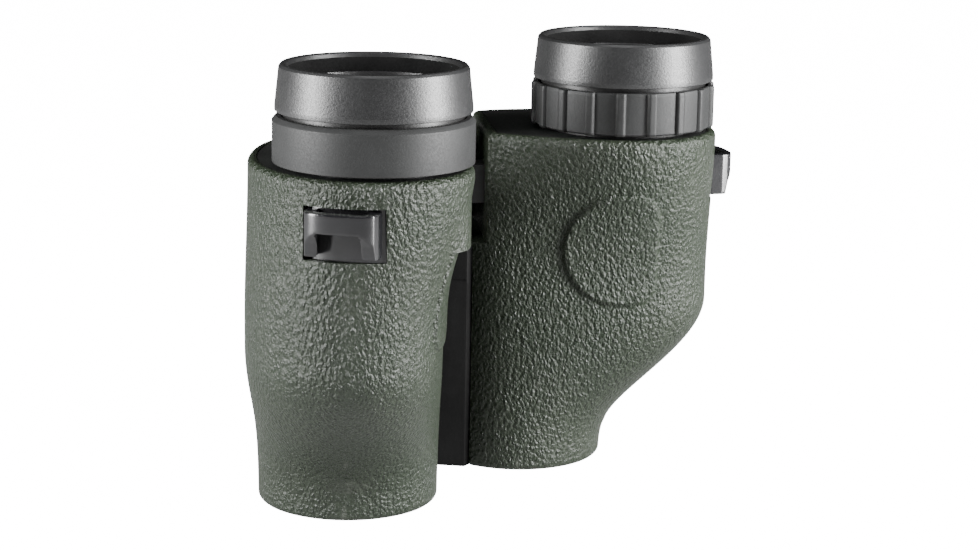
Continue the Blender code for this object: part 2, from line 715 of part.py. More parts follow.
def make_bridge_housing():
    barrel = extruded(housing_outline(), *HOUSING_Z)
    housing = add_part("bridge_housing", barrel, "right_half", "black_plastic")
    panel = [(1.6, 9.7), (5.6, 4.1), (6.85, 4.37), (11.0, 5.15), (11.5, 10.9), (2.4, 10.9)]
    cut(housing, extruded(panel, HOUSING_Z[1] - 1.0, PANEL_TOP_Z), "UNION")
    chassis_r = OBJECTIVE_LOBE_R - CHASSIS_INSET + 0.75
    cut(housing, cylinder(chassis_r, -2.0, PANEL_TOP_Z + 2.0, 44), place=(OBJECTIVE.x, OBJECTIVE.y, 0.0))
    cut(housing, cylinder(BATTERY_BORE_R, -2.0, BATTERY_BORE_TOP_Z), place=(HINGE.x, HINGE.y, 0.0))


def make_power():
    at = (HINGE.x, HINGE.y, 0.0)
    low, high = BATTERY_Z
    battery = [(0.0, high), (3.0, high), (3.0, high - 1.0), (BATTERY_R, high - 1.0)]
    battery += [(BATTERY_R, low), (0.0, low)]
    add_part("battery", turned(battery, 22), "right_half", "brass", at)
    contact = [(0.0, 34.6), (7.6, 34.6), (7.6, 33.8), (2.0, 33.8), (0.9, 32.9), (0.0, 32.7)]
    add_part("battery_contact", turned(contact, 16), "right_half", "steel", at)
    add_part("main_circuit_board", cylinder(BOARD_R, *BOARD_Z), "right_half", "circuit_board", at)
    cap = [(0.0, 4.4), (6.7, 4.4), (6.7, 2.2), (8.0, 2.2), (8.0, 0.4), (0.0, 0.4)]
    cap_part = add_part("battery_cap", turned(cap), "battery_cap", "black_plastic", at)
    slot = box((-6.0, -0.8, -1.0), (6.0, 0.8, 1.4))
    cut(cap_part, slot, place=at)
    add_part("battery_cap_seal", tube(7.0, 7.9, 2.5, 4.0), "battery_cap", "grip_rubber", at)


def cover_outline():
    """Hood over the hinge: flat top, open below, clear of the left half as it folds."""
    hollow = arc(HINGE, 7.4, 30.0, 180.0, 12)
    top = BRIDGE_TOP_Y
    outer = [(-7.4, 20.6), (-9.5, 20.6), (-9.5, 26.6), (-8.3, 29.3), (-5.6, top)]
    outer += [(9.0, top), (13.0, 29.3), (16.2, 25.6), (16.2, 23.0)]
    return outer + hollow


def cover_wing():
    """Part of the hood that closes the recess beside the right half, above the ledge."""
    along = Vector((-RECESS_NORMAL.y, RECESS_NORMAL.x))
    end = RECESS_EDGE + along * (RECESS_WALL_LENGTH - 0.4)
    lip = end + RECESS_NORMAL * 1.5
    return [
        (10.0, 26.6), (10.0, 30.0), (14.0, 29.7), (21.0, 27.9), tuple(end + Vector((-0.4, 0.5))),
        tuple(lip), tuple(lip - along * 2.2), (22.0, 24.6),
    ]


def stadium(half_width, half_length, count=8):
    """Outline with round ends, long side along its second coordinate."""
    reach = half_length - half_width
    upper = arc((0.0, reach), half_width, 0.0, 180.0, count)
    lower = arc((0.0, -reach), half_width, 180.0, 360.0, count)
    return upper + lower


def make_bridge_cover():
    hood = extruded(cover_outline(), *BRIDGE_COVER_Z)
    cover = add_part("bridge_cover", hood, "right_half", "black_plastic")
    cut(cover, extruded(cover_wing(), FLAT_LEDGE_Z + 0.5, BRIDGE_COVER_Z[1] - 0.2), "UNION")
    top = BRIDGE_TOP_Y
    floor = top - BUTTON_POCKET_DEPTH
    rest_y = (top - 1.0, top + BUTTON_RISE)
    buttons = (("range", 3.6, 5.8, RANGE_BUTTON_Z), ("mode", 2.6, 2.61, MODE_BUTTON_Z))
    for name, half_width, half_length, z in buttons:
        frame = along_y(0.0, z)
        pocket = extruded(stadium(half_width + GAP, half_length + GAP), floor, top + 2.0, frame)
        cut(cover, pocket)
        shape = extruded(stadium(half_width, half_length), *rest_y, frame)
        add_part(name + "_button", shape, name + "_button", "grip_rubber")
        half = SWITCH_HALF_WIDTH
        pad = box((-half, floor + GAP, z - half), (half, floor + GAP + 0.5, z + half))
        add_part(name + "_switch", pad, "right_half", "steel")


def make_hinge():
    at = (HINGE.x, HINGE.y, 0.0)
    add_part("hinge_shaft", tube(SCREW_CLEARANCE_R, SHAFT_R, *SHAFT_Z, 18), "right_half", "steel", at)
    bush = tube(SHAFT_R + GAP, BUSH_R, MIDDLE_KNUCKLE_Z[0] + 0.1, MIDDLE_KNUCKLE_Z[1] - 0.1, 18)
    add_part("hinge_bush", bush, "right_half", "brass", at)
    add_part("hinge_nut", tube(SCREW_CLEARANCE_R, NUT_R, *NUT_Z, 6), "right_half", "steel", at)


def make_focus_drive():
    at = (HINGE.x, HINGE.y, 0.0)
    low, high = WHEEL_Z
    hub_r = WHEEL_R - 1.5
    wheel = [(0.0, high), (hub_r - 0.8, high), (hub_r, high - 0.8), (hub_r, low)]
    wheel += [(SCREW_CLEARANCE_R, low), (SCREW_CLEARANCE_R, 84.3), (0.0, 84.3)]
    add_part("focus_wheel", turned(wheel), "focus_drive", "black_plastic", at)
    grip = [(WHEEL_R - 0.5, high - 1.3), (WHEEL_R, high - 1.8), (WHEEL_R, low + 1.3)]
    grip += [(WHEEL_R - 0.5, low + 0.8), (hub_r + GAP, low + 0.8), (hub_r + GAP, high - 1.3)]
    add_part("focus_wheel_grip", turned(grip), "focus_drive", "grip_rubber", at)
    add_part("focus_screw", cylinder(FOCUS_SCREW_R, 43.0, 84.0, 16), "focus_drive", "brass", at)
    spool_low, spool_high = SPOOL_Z
    spool = [
        (5.8, spool_high), (5.8, spool_high - 0.9), (3.3, spool_high - 0.9), (3.3, spool_low + 0.9),
        (5.8, spool_low + 0.9), (5.8, spool_low), (SCREW_CLEARANCE_R, spool_low),
        (SCREW_CLEARANCE_R, spool_high),
    ]
    add_part("focus_spool", turned(spool, 18), "focus_spool", "brass", at)


def make_electronics():
    diode = cylinder(MODULE_R, *MODULE_Z, 20)
    add_part("laser_diode_module", diode, "right_half", "steel", (OBJECTIVE.x, OBJECTIVE.y, 0.0))
    receiver = cylinder(MODULE_R, *MODULE_Z, 20)
    add_part("laser_receiver_module", receiver, "left_half", "steel", (-OBJECTIVE.x, OBJECTIVE.y, 0.0))
    display = cylinder(DISPLAY_R, *DISPLAY_Z, 24)
    add_part("display_glass", display, "right_half", "glass", (EYE.x, EYE.y, 0.0))


clear_scene()
PARTS = collection("laser_rangefinder")
TOOLS = collection("cutting_tools")
BODIES = {}
make_bodies()
for half_name, half_side in (("right", 1), ("left", -1)):
    half_body = half_name + "_half"
    make_armour(half_name, half_side, half_body)
    make_chassis(half_name, half_side, half_body)
    make_rear_cover(half_name, half_side, half_body)
    make_lug(half_name, half_side, half_body)
    make_objective(half_name, half_side, half_body)
    make_focus_cell(half_name, half_side, half_name + "_focus")
    make_prisms(half_name, half_side, half_body)
    make_eyepiece(half_name, half_side, "right_eyepiece" if half_side > 0 else "left_half")
    make_eyecup(half_name, half_side)
make_rings()
make_bridge_housing()
make_power()
make_bridge_cover()
make_hinge()
make_focus_drive()
make_electronics()
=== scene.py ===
"""Looks of the folding laser rangefinder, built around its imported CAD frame.

Lengths below are millimetres in the frame's own axes: +X is the user's right, +Y the
top side and +Z points to the eyepieces. Meshes are made in metres.
"""
from math import cos, pi, radians, sin, tan

import bmesh
import bpy
import numpy as np
from mathutils import Matrix, Vector


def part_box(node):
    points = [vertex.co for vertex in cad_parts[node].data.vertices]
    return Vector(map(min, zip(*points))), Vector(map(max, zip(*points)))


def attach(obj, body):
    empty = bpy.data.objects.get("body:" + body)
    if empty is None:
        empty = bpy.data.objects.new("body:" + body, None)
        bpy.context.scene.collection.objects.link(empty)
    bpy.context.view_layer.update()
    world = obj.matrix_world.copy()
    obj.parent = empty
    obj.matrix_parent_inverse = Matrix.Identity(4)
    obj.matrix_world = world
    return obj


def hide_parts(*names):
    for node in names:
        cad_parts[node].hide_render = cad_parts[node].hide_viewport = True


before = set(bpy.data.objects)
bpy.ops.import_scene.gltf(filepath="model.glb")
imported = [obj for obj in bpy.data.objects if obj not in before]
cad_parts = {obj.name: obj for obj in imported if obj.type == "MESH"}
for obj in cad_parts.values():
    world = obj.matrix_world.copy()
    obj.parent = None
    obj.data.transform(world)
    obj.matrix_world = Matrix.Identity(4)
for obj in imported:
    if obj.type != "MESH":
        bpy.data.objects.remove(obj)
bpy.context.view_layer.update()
MM = 0.001


# ---------------------------------------------------------------- places from the frame

def low(node):
    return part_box(node)[0] / MM


def high(node):
    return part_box(node)[1] / MM


def plan(node):
    """Middle of a node in X and Y."""
    middle = (low(node) + high(node)) / 2
    return Vector((middle.x, middle.y))


EYE = plan("right_eyepiece_barrel")
OBJECTIVE = plan("right_objective_lens")
HINGE = plan("focus_wheel")
SHOULDER_Z = high("right_chassis").z
ARMOUR_TOP_Z = high("right_armour").z
COVER_TOP_Z = ARMOUR_TOP_Z - 0.2
COVER_LOW_Z = low("right_rear_cover").z

# Outer shape of one half: three round lobes blended into one outline at each height
EYE_LOBE_TOP_R = 20.2
EYE_LOBE_R = 15.9
EYE_LOBE_SHIFT = 5.4
SIDE_LOBE_R = 17.9
SIDE_LOBE_OFFSET = (1.5, 9.0)
FRONT_LOBE_R = 14.0
OBJECTIVE_LOBE_R = 18.5
LOBE_BLEND = 0.55
LOBE_SLIDE_TOP_Z = 36.4
LOBE_SLIDE_SPAN = 38.0
RECESS_EDGE = Vector((8.2, 0.9))
RECESS_NORMAL = Vector((0.77, -0.638)).normalized()
RECESS_ALONG = Vector((-RECESS_NORMAL.y, RECESS_NORMAL.x))
RECESS_WALL_LENGTH = 31.4
LEDGE_Z = 50.4
ARMOUR_INSET = 1.8
RIM_ROUND = 1.3                 # rounding of the front rim
LIP_ROUND = 1.5                 # rounding of the lip around the rear cover
COVER_SEAT = ARMOUR_INSET + 0.06
COVER_ROUND = 0.35
NECK_R = 15.3
NECK_BORE_R = 13.5
COLUMNS = 420                   # points around one half
COVER_COLUMNS = 240

# Raised shoulder of the left half
SHOULDER_PAD_R = 19.3
SHOULDER_PAD_Z = 58.6

# Thumb pad: a D-shaped plateau on the underside
PAD_STRAIGHT = Vector((32.7, -26.3))
PAD_FAR = Vector((17.7, -12.8))
PAD_MIDDLE_Z = 49.8
PAD_R = 12.1
PAD_CORNER_R = 5.0
PAD_RISE = 0.75
PAD_EDGE = 0.9

# Strap lug and its pocket
LUG_ANGLE = radians(-30.0)
LUG_Z = (low("right_strap_lug").z, high("right_strap_lug").z)
LUG_HALF_WIDTH = 7.35
LUG_BAR_HEIGHT = 3.9
LUG_DEPTH = (0.5, 3.8)          # how far the lug stands out at its ends and at its middle
LUG_WINDOW_HALF_WIDTH = 4.3
LUG_VOXEL = 0.14
POCKET_Z = (58.8, 69.3)
POCKET_WIDTH = 16.3


# ---------------------------------------------------------------- node materials

class Finish:
    """A Principled material with short helpers for its node tree."""

    def __init__(self, name, roughness, **sockets):
        self.material = bpy.data.materials.new(name)
        self.material.use_nodes = True
        self.tree = self.material.node_tree
        self.shader = self.tree.nodes["Principled BSDF"]
        self.shader.inputs["Roughness"].default_value = roughness
        for socket, value in sockets.items():
            self.shader.inputs[socket.replace("_", " ")].default_value = value
        self.place = self.tree.nodes.new("ShaderNodeTexCoord").outputs["Object"]

    def node(self, kind, inputs=None, **settings):
        made = self.tree.nodes.new(kind)
        for key, value in settings.items():
            setattr(made, key, value)
        for key, value in (inputs or {}).items():
            if isinstance(value, bpy.types.NodeSocket):
                self.tree.links.new(value, made.inputs[key])
            else:
                made.inputs[key].default_value = value
        return made

    def noise(self, size, detail=3.0, roughness=0.55, place=None, distortion=0.0):
        """Noise whose features are about size millimetres across."""
        inputs = {
            "Vector": place or self.place, "Scale": 1.0 / (size * MM), "Detail": detail,
            "Roughness": roughness, "Distortion": distortion,
        }
        return self.node("ShaderNodeTexNoise", inputs).outputs["Fac"]

    def warped(self, size, amount):
        """The place, pushed about by noise: amount in millimetres."""
        inputs = {"Vector": self.place, "Scale": 1.0 / (size * MM), "Detail": 2.0}
        push = self.node("ShaderNodeTexNoise", inputs).outputs["Color"]
        centred = self.node(
            "ShaderNodeVectorMath", {0: push, 1: (0.5, 0.5, 0.5)}, operation="SUBTRACT"
        ).outputs[0]
        scaled = self.node(
            "ShaderNodeVectorMath", {0: centred, "Scale": amount * MM}, operation="SCALE"
        ).outputs[0]
        return self.node("ShaderNodeVectorMath", {0: self.place, 1: scaled}).outputs[0]

    def stretched(self, place, scale):
        """A place scaled along each axis: below 1 makes the pattern longer that way."""
        inputs = {0: place, 1: scale}
        return self.node("ShaderNodeVectorMath", inputs, operation="MULTIPLY").outputs[0]

    def cells(self, size, place=None, feature="SMOOTH_F1"):
        inputs = {"Vector": place or self.place, "Scale": 1.0 / (size * MM)}
        made = self.node("ShaderNodeTexVoronoi", inputs, feature=feature)
        if feature == "SMOOTH_F1":
            made.inputs["Smoothness"].default_value = 0.5
        return made.outputs["Distance"]

    def remap(self, value, low_in, high_in, low_out, high_out):
        inputs = {
            "Value": value, "From Min": low_in, "From Max": high_in,
            "To Min": low_out, "To Max": high_out,
        }
        return self.node("ShaderNodeMapRange", inputs).outputs["Result"]

    def maths(self, operation, a, b):
        return self.node("ShaderNodeMath", {0: a, 1: b}, operation=operation).outputs[0]

    def blend(self, factor, a, b):
        made = self.node("ShaderNodeMix", data_type="RGBA")
        for socket, value in ((made.inputs[0], factor), (made.inputs[6], a), (made.inputs[7], b)):
            if isinstance(value, bpy.types.NodeSocket):
                self.tree.links.new(value, socket)
            else:
                socket.default_value = value
        return made.outputs[2]

    def colour(self, value):
        if isinstance(value, bpy.types.NodeSocket):
            self.tree.links.new(value, self.shader.inputs["Base Color"])
        else:
            self.shader.inputs["Base Color"].default_value = value

    def rough(self, value):
        self.tree.links.new(value, self.shader.inputs["Roughness"])

    def bump(self, height, depth, strength=1.0, below=None):
        """Relief of depth millimetres; below is an earlier bump that this one rides on."""
        inputs = {"Height": height, "Distance": depth * MM, "Strength": strength}
        if below:
            inputs["Normal"] = below
        out = self.node("ShaderNodeBump", inputs).outputs["Normal"]
        self.tree.links.new(out, self.shader.inputs["Normal"])
        return out

    def edge_wear_and_highlight(self):
        """0 on flat stretches, towards 1 on outer edges, where the colour is lightened for wear and for
        a painted edge highlight.
        """
        pointed = self.node("ShaderNodeNewGeometry").outputs["Pointiness"]
        return self.remap(pointed, 0.52, 0.60, 0.0, 1.0)


def rgba(red, green, blue):
    return (red, green, blue, 1.0)


def armour_finish():
    """Moulded rubber with an irregular pebble grain and painted shade darkening its hollows."""
    made = Finish("armour_rubber", 0.42, Specular_IOR_Level=0.5)
    wide = made.noise(22.0, 2.0)
    blotch = made.noise(3.0, 3.0)
    warped = made.stretched(made.warped(1.3, 0.8), (1.0, 1.0, 0.72))
    pebbles = made.cells(0.72, warped)
    fine = made.noise(0.36, 2.0, place=warped)
    grain = made.maths("ADD", made.maths("MULTIPLY", pebbles, 0.75), made.maths("MULTIPLY", fine, 0.6))
    tones = (rgba(0.013, 0.021, 0.010), rgba(0.017, 0.024, 0.013))
    base = made.blend(made.remap(wide, 0.35, 0.65, 0.0, 1.0), *tones)
    base = made.blend(made.remap(blotch, 0.4, 0.75, 0.0, 0.35), base, rgba(0.022, 0.031, 0.017))
    # painted shade: the grain's hollows are darkened in colour
    base = made.blend(made.remap(grain, 0.35, 0.75, 0.45, 0.0), base, rgba(0.006, 0.011, 0.005))
    # lighter outer edges: partly wear, partly a painted edge highlight
    made.colour(made.blend(made.edge_wear_and_highlight(), base, rgba(0.035, 0.042, 0.030)))
    made.rough(made.remap(grain, 0.3, 0.8, 0.28, 0.46))
    made.bump(grain, -0.5, 1.0)
    return made.material


def plastic_finish(name, colour, roughness, stipple=0.0, grain=0.4, wear_and_highlight=0.25, specular=0.5):
    """Moulded plastic or rubber: slight tone changes, a stipple and dull or shiny spots."""
    made = Finish(name, roughness, Specular_IOR_Level=specular)
    tone = made.noise(9.0, 3.0)
    base = rgba(*colour)
    lighter = rgba(*(min(1.0, c * 1.28 + 0.004) for c in colour))
    mixed = made.blend(made.remap(tone, 0.35, 0.7, 0.0, 1.0), base, lighter)
    # lighter outer edges: partly wear, partly a painted edge highlight
    worn_and_lit = rgba(*(min(1.0, c * 1.8 + 0.02) for c in colour))
    made.colour(made.blend(made.maths("MULTIPLY", made.edge_wear_and_highlight(), wear_and_highlight), mixed, worn_and_lit))
    spots = made.noise(grain, 3.0)
    made.rough(made.remap(spots, 0.3, 0.75, roughness * 0.88, min(1.0, roughness * 1.2)))
    if stipple:
        made.bump(spots, stipple, 0.6)
    return made.material


def metal_finish(name, colour, roughness):
    """Machined metal: fine tool rings about Z."""
    made = Finish(name, roughness, Metallic=1.0)
    lines = made.noise(0.9, 3.0, place=made.stretched(made.place, (1.0, 1.0, 9.0)))
    darker = rgba(*(c * 0.72 for c in colour))
    made.colour(made.blend(made.remap(lines, 0.3, 0.7, 0.0, 1.0), darker, rgba(*colour)))
    made.rough(made.remap(lines, 0.3, 0.7, roughness * 0.75, roughness * 1.3))
    made.bump(lines, 0.03, 0.5)
    return made.material


def glass_finish(name, tint, film):
    """Coated optical glass: film is the coating's thickness in nanometres."""
    made = Finish(name, 0.02, IOR=1.52)
    made.shader.inputs["Transmission Weight"].default_value = 1.0
    made.shader.inputs["Thin Film Thickness"].default_value = film
    made.shader.inputs["Thin Film IOR"].default_value = 1.38
    smear = made.noise(7.0, 4.0)
    smeared = rgba(*(c * 0.93 for c in tint))
    made.colour(made.blend(made.remap(smear, 0.3, 0.8, 0.0, 0.2), rgba(*tint), smeared))
    made.rough(made.remap(smear, 0.5, 0.8, 0.015, 0.06))
    return made.material


def board_finish():
    """Circuit board: green lacquer over copper tracks."""
    made = Finish("circuit_board", 0.35)
    tracks = made.cells(1.6, feature="DISTANCE_TO_EDGE")
    lacquer = (rgba(0.01, 0.11, 0.04), rgba(0.03, 0.22, 0.08))
    made.colour(made.blend(made.remap(tracks, 0.03, 0.06, 1.0, 0.0), *lacquer))
    made.bump(tracks, 0.05, 0.4)
    return made.material


ARMOUR = armour_finish()
COVER = plastic_finish("cover_plastic", (0.012, 0.013, 0.012), 0.46, 0.05, 0.5)
RING = plastic_finish("ring_plastic", (0.015, 0.0155, 0.0155), 0.55, 0.04, 0.45, specular=0.4)
CUP = plastic_finish("eyecup_rubber", (0.012, 0.0122, 0.0126), 0.38, 0.07, 0.42, specular=0.75)
# a darker, duller copy of the eyecup rubber: painted shade for the cup's inside
CUP_INSIDE_SHADE = plastic_finish("eyecup_inside_painted_shade", (0.004, 0.004, 0.004), 0.85, 0.04, 0.6, specular=0.08)
GLOSS = plastic_finish("gloss_black_plastic", (0.008, 0.008, 0.009), 0.20, 0.0, 2.0, specular=0.8)
HOUSING = plastic_finish("housing_plastic", (0.004, 0.004, 0.004), 0.6, 0.03, 0.5, specular=0.06)
BLACK = plastic_finish("black_plastic", (0.010, 0.010, 0.010), 0.40, 0.04, 0.5)
GRIP = plastic_finish("grip_rubber", (0.022, 0.022, 0.023), 0.60, 0.08, 0.35)
BLIND = plastic_finish("blackened_metal", (0.006, 0.006, 0.007), 0.55, 0.02, 0.4)
STEEL = metal_finish("brushed_steel", (0.55, 0.55, 0.56), 0.28)
BRASS = metal_finish("turned_brass", (0.72, 0.55, 0.26), 0.28)
ALUMINIUM = metal_finish("anodised_aluminium", (0.16, 0.165, 0.17), 0.38)
OBJECTIVE_GLASS = glass_finish("objective_glass", (0.80, 0.92, 0.86), 420.0)
EYE_GLASS = glass_finish("eye_glass", (0.84, 0.88, 0.95), 340.0)
PRISM_GLASS = glass_finish("prism_glass", (0.93, 0.97, 0.97), 0.0)
BOARD = board_finish()


# ---------------------------------------------------------------- mesh helpers

def piece(name, mesh, finish, body, replaced=(), sharp=35.0):
    """Link a mesh as a piece that rides on a body, in the place of CAD nodes."""
    made = bpy.data.objects.new(name, mesh)
    bpy.context.scene.collection.objects.link(made)
    mesh.materials.clear()
    mesh.materials.append(finish)
    mesh.shade_smooth()
    mesh.set_sharp_from_angle(angle=radians(sharp))
    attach(made, body)
    if replaced:
        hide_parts(*replaced)
    return made


def applied(made):
    """Bake an object's modifiers into its mesh."""
    bpy.context.view_layer.update()
    graph = bpy.context.evaluated_depsgraph_get()
    mesh = bpy.data.meshes.new_from_object(made.evaluated_get(graph))
    made.modifiers.clear()
    made.data = mesh
    return mesh


def shaped(mesh, cuts=(), joins=(), bevel=0.0, segments=3):
    """A mesh with others cut from it or joined to it, and its edges rounded."""
    made = bpy.data.objects.new("shaping", mesh)
    bpy.context.scene.collection.objects.link(made)
    tools = []
    for operation, meshes in (("UNION", joins), ("DIFFERENCE", cuts)):
        for tool_mesh in meshes:
            tool = bpy.data.objects.new("tool", tool_mesh)
            bpy.context.scene.collection.objects.link(tool)
            modifier = made.modifiers.new("shape", "BOOLEAN")
            modifier.operation = operation
            modifier.solver = "EXACT"
            modifier.object = tool
            tools.append(tool)
    if bevel:
        modifier = made.modifiers.new("round", "BEVEL")
        modifier.width = bevel * MM
        modifier.segments = segments
        modifier.limit_method = "ANGLE"
        modifier.angle_limit = radians(38)
        modifier.harden_normals = False
    result = applied(made)
    for used in [made] + tools:
        bpy.data.objects.remove(used)
    return result


def from_form(form, name="mesh"):
    mesh = bpy.data.meshes.new(name)
    form.to_mesh(mesh)
    form.free()
    return mesh


def faced_outward(mesh):
    form = bmesh.new()
    form.from_mesh(mesh)
    bmesh.ops.recalc_face_normals(form, faces=form.faces)
    form.to_mesh(mesh)
    form.free()
    return mesh


def moved(mesh, x=0.0, y=0.0, z=0.0):
    mesh.transform(Matrix.Translation((x * MM, y * MM, z * MM)))
    return mesh


def mirrored(mesh):
    mesh.transform(Matrix.Scale(-1.0, 4, (1.0, 0.0, 0.0)))
    mesh.flip_normals()
    return mesh


def sided(mesh, side):
    return mesh if side > 0 else mirrored(mesh)


def fillet(points, radius, steps=4, closed=True):
    """Round the corners of an outline; radius is one value or one for each corner."""
    count = len(points)
    radii = [radius] * count if isinstance(radius, (int, float)) else radius
    rounded = []
    for i, here in enumerate(points):
        here = Vector(here)
        if radii[i] <= 0 or (not closed and i in (0, count - 1)):
            rounded.append(tuple(here))
            continue
        before = Vector(points[i - 1]) - here
        after = Vector(points[(i + 1) % count]) - here
        angle = before.angle(after)
        reach = min(radii[i] / tan(angle / 2), before.length * 0.45, after.length * 0.45)
        start = here + before.normalized() * reach
        end = here + after.normalized() * reach
        for step in range(steps + 1):
            t = step / steps
            rounded.append(tuple(start * (1 - t) ** 2 + here * 2 * t * (1 - t) + end * t * t))
    return rounded


def arc(centre, radius, start, end, count):
    """Points on an arc, angles in degrees."""
    turns = [radians(start + (end - start) * i / count) for i in range(count + 1)]
    return [(centre[0] + radius * cos(a), centre[1] + radius * sin(a)) for a in turns]


def lathe(profile, steps=96, ripple=None):
    """Turned ring or solid from (radius, height) points, counted down the outer side.

    ripple(radius, height, angle) gives a changed radius, for ribs and knurls.
    """
    form = bmesh.new()
    on_axis = profile[0][0] == 0 and profile[-1][0] == 0
    rows = []
    for radius, height in profile:
        if radius == 0:
            rows.append([form.verts.new((0.0, 0.0, height * MM))] * steps)
            continue
        row = []
        for i in range(steps):
            angle = 2 * pi * i / steps
            reach = ripple(radius, height, angle) if ripple else radius
            row.append(form.verts.new((reach * cos(angle) * MM, reach * sin(angle) * MM, height * MM)))
        rows.append(row)
    pairs = list(zip(rows, rows[1:]))
    if not on_axis:
        pairs.append((rows[-1], rows[0]))
    for upper, lower in pairs:
        for i in range(steps):
            j = (i + 1) % steps
            corners = []
            for vertex in (upper[i], lower[i], lower[j], upper[j]):
                if vertex not in corners:
                    corners.append(vertex)
            if len(corners) > 2:
                form.faces.new(corners)
    bmesh.ops.recalc_face_normals(form, faces=form.faces)
    return from_form(form)


def rod(radius, bottom, top, steps=96):
    return lathe([(0, top), (radius, top), (radius, bottom), (0, bottom)], steps)


def prism(outline, bottom, top):
    """An outline in X and Y made solid from bottom to top."""
    form = bmesh.new()
    lower = [form.verts.new((x * MM, y * MM, bottom * MM)) for x, y in outline]
    face = form.faces.new(lower)
    grown = bmesh.ops.extrude_face_region(form, geom=[face])
    verts = [v for v in grown["geom"] if isinstance(v, bmesh.types.BMVert)]
    bmesh.ops.translate(form, vec=(0.0, 0.0, (top - bottom) * MM), verts=verts)
    bmesh.ops.recalc_face_normals(form, faces=form.faces)
    return from_form(form)


def turned(mesh, angle, centre):
    """Turn a mesh made in (outward, sideways, z) about an upright axis."""
    place = Matrix.Translation((centre[0] * MM, centre[1] * MM, 0.0))
    mesh.transform(place @ Matrix.Rotation(angle, 4, "Z"))
    return mesh


def standing(mesh, x, z):
    """Lay a mesh made along Z so that it rises along +Y at (x, z)."""
    turn = Matrix.Rotation(radians(-90), 4, "X") @ Matrix.Scale(-1.0, 4, (0.0, 1.0, 0.0))
    mesh.transform(Matrix.Translation((x * MM, 0.0, z * MM)) @ turn)
    mesh.flip_normals()
    return mesh


# ---------------------------------------------------------------- outline of one half

def smooth(value):
    value = np.clip(value, 0.0, 1.0)
    return value * value * (3 - 2 * value)


def mix(a, b, amount):
    return a + (b - a) * amount


def lobes(z):
    """Centre and radius of the three round lobes at a height."""
    slide = smooth((LOBE_SLIDE_TOP_Z - z) / LOBE_SLIDE_SPAN)
    narrow = smooth((75.0 - z) / 34.0)
    eye = np.array([EYE.x + mix(0.3, EYE_LOBE_SHIFT, narrow), EYE.y])
    side = np.array([EYE.x + mix(0.0, SIDE_LOBE_OFFSET[0], narrow), EYE.y + SIDE_LOBE_OFFSET[1]])
    front = np.array(OBJECTIVE)
    eye_r = mix(mix(EYE_LOBE_TOP_R, EYE_LOBE_R, narrow), FRONT_LOBE_R, slide)
    side_r = mix(SIDE_LOBE_R, FRONT_LOBE_R, slide)
    return [
        (mix(eye, front, slide), eye_r), (front, OBJECTIVE_LOBE_R), (mix(side, front, slide), side_r),
    ]


ANGLES = np.linspace(0.0, 2 * pi, 1440, endpoint=False)
NORMALS = np.stack([np.cos(ANGLES), np.sin(ANGLES)], axis=1)


def dense_outline(z, normals):
    """Blended outline points for outward normals, before any inset."""
    rounds = lobes(z)
    reach = np.stack([normals @ centre + radius for centre, radius in rounds])
    weights = np.exp(LOBE_BLEND * (reach - reach.max(axis=0)))
    total = weights.sum(axis=0)
    weights = weights / total
    blended = reach.max(axis=0) + np.log(total) / LOBE_BLEND
    mean = (weights * reach).sum(axis=0)
    points = sum(
        w[:, None] * (centre + normals * radius) for w, (centre, radius) in zip(weights, rounds)
    )
    return points + normals * (blended - mean)[:, None]


def even_outline(z, count=COLUMNS):
    """Evenly spaced outline points and their outward normals."""
    points = dense_outline(z, NORMALS)
    looped = np.vstack([points, points[:1]])
    turns = np.append(ANGLES, 2 * pi)
    run = np.concatenate([[0.0], np.cumsum(np.linalg.norm(np.diff(looped, axis=0), axis=1))])
    wanted = np.linspace(0.0, run[-1], count, endpoint=False)
    angle = np.interp(wanted, run, turns)
    even = np.stack([np.interp(wanted, run, looped[:, k]) for k in (0, 1)], axis=1)
    return even, np.stack([np.cos(angle), np.sin(angle)], axis=1)


def trimmed(points, inset):
    """Push points out of the hinge recess."""
    normal = np.array(RECESS_NORMAL)
    depth = (points - np.array(RECESS_EDGE)) @ normal
    return points + normal * np.maximum(0.0, inset - depth)[:, None]


def shouldered(points, inset=0.0):
    """Push points out to the raised shoulder on the inner underside."""
    arm = points - np.array(EYE)
    length = np.linalg.norm(arm, axis=1)
    angle = np.arctan2(arm[:, 1], -arm[:, 0])
    window = smooth((angle + radians(80)) / radians(20)) * smooth(-angle / radians(12))
    wanted = mix(length, np.maximum(length, SHOULDER_PAD_R - inset), window)
    return np.array(EYE) + arm * (wanted / length)[:, None]


def outline(z, inset, flat=False, pad=False, count=COLUMNS):
    even, normals = even_outline(z, count)
    points = even - normals * inset
    if flat:
        points = trimmed(points, inset)
    if pad:
        points = shouldered(points, inset)
    return points


def thumb_pad(points, normals, z):
    """Rise of the D-shaped thumb pad at outline points: 0 outside, PAD_RISE on the pad."""
    run = PAD_FAR - PAD_STRAIGHT
    width = run.length
    across = (points - np.array(PAD_STRAIGHT)) @ np.array(run.normalized())
    middle = width - PAD_R
    up = abs(z - PAD_MIDDLE_Z)
    round_side = np.hypot(across - middle, up) - PAD_R
    dx = (middle - across) - (middle - PAD_CORNER_R)
    dz = up - (PAD_R - PAD_CORNER_R)
    corner = np.hypot(np.maximum(dx, 0), max(dz, 0.0))
    square_side = corner + np.minimum(np.maximum(dx, dz), 0) - PAD_CORNER_R
    distance = np.where(across > middle, round_side, square_side)
    facing = normals @ np.array((run.y, -run.x)) / width < -0.6
    return PAD_RISE * (1 - smooth(distance / PAD_EDGE + 0.5)) * facing


